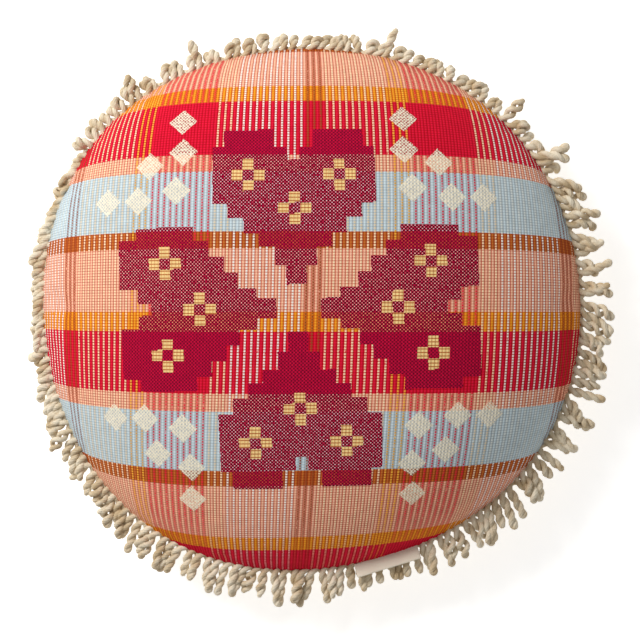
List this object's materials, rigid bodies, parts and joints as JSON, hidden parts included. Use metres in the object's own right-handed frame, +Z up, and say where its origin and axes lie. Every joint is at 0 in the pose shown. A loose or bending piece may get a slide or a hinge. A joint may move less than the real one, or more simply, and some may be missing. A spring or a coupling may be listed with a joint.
{
  "type": "floor cushion",
  "caption": "Round plump floor cushion: woven check cover with raised motifs, twisted cord fringe in the seam, sewn-in tape label, zipped underside and a separate filled inner pad.",
  "frame": {"origin": "the point on the floor under the middle of the round seam, with the cushion lying face up on its flattened underside", "axes": "+Z up through the crown of the decorated face; +Y towards the top of the pattern; +X to the right as the face is seen from above"},
  "size_m": [0.6275, 0.6055, 0.17],
  "materials": {
    "woven_cotton": "ribbed hand-loom cotton in check bands with raised motifs",
    "back_canvas": "plain unbleached cotton canvas",
    "cotton_cord": "unbleached twisted cotton cord",
    "label_tape": "herringbone cotton tape, blank",
    "zip_tape": "woven polyester tape",
    "zip_coil": "nylon coil",
    "zip_brass": "satin plated zinc casting",
    "calico": "plain calico",
    "fibre_fill": "loose hollow fibre"
  },
  "bodies": {
    "root": {"front_panel": "woven_cotton", "back_panel_upper": "back_canvas", "back_panel_lower": "back_canvas", "fringe_heading": "cotton_cord", "woven_label": "label_tape", "zip_tape_upper": "zip_tape", "zip_tape_lower": "zip_tape", "zip_coil_upper": "zip_coil", "zip_coil_lower": "zip_coil", "zip_top_stop_upper": "zip_brass", "zip_top_stop_lower": "zip_brass", "zip_bottom_stop": "zip_brass", "insert_casing_top": "calico", "insert_casing_bottom": "calico", "insert_fill": "fibre_fill", "fringe_section_01": "cotton_cord", "fringe_section_02": "cotton_cord", "fringe_section_03": "cotton_cord", "fringe_section_04": "cotton_cord", "fringe_section_05": "cotton_cord", "fringe_section_06": "cotton_cord", "fringe_section_07": "cotton_cord", "fringe_section_08": "cotton_cord", "fringe_section_09": "cotton_cord", "fringe_section_10": "cotton_cord", "fringe_section_11": "cotton_cord", "fringe_section_12": "cotton_cord", "fringe_section_13": "cotton_cord", "fringe_section_14": "cotton_cord", "fringe_section_15": "cotton_cord", "fringe_section_16": "cotton_cord", "fringe_section_17": "cotton_cord", "fringe_section_18": "cotton_cord", "fringe_section_19": "cotton_cord", "fringe_section_20": "cotton_cord", "fringe_section_21": "cotton_cord", "fringe_section_22": "cotton_cord", "fringe_section_23": "cotton_cord", "fringe_section_24": "cotton_cord", "fringe_section_25": "cotton_cord"},
    "slider": {"zip_slider": "zip_brass"},
    "pull": {"zip_pull": "zip_brass"}
  },
  "joints": [
    {"name": "zip_slide", "type": "slide", "parent": "root", "child": "slider", "axis": [-1, 0, 0], "range_m": [0, 0.278]},
    {"name": "pull_swing", "type": "hinge", "parent": "slider", "child": "pull", "pos_m": [0.1391, 0, 0.0033], "axis": [0, 1, 0], "range_deg": [-180, 0]}
  ]
}
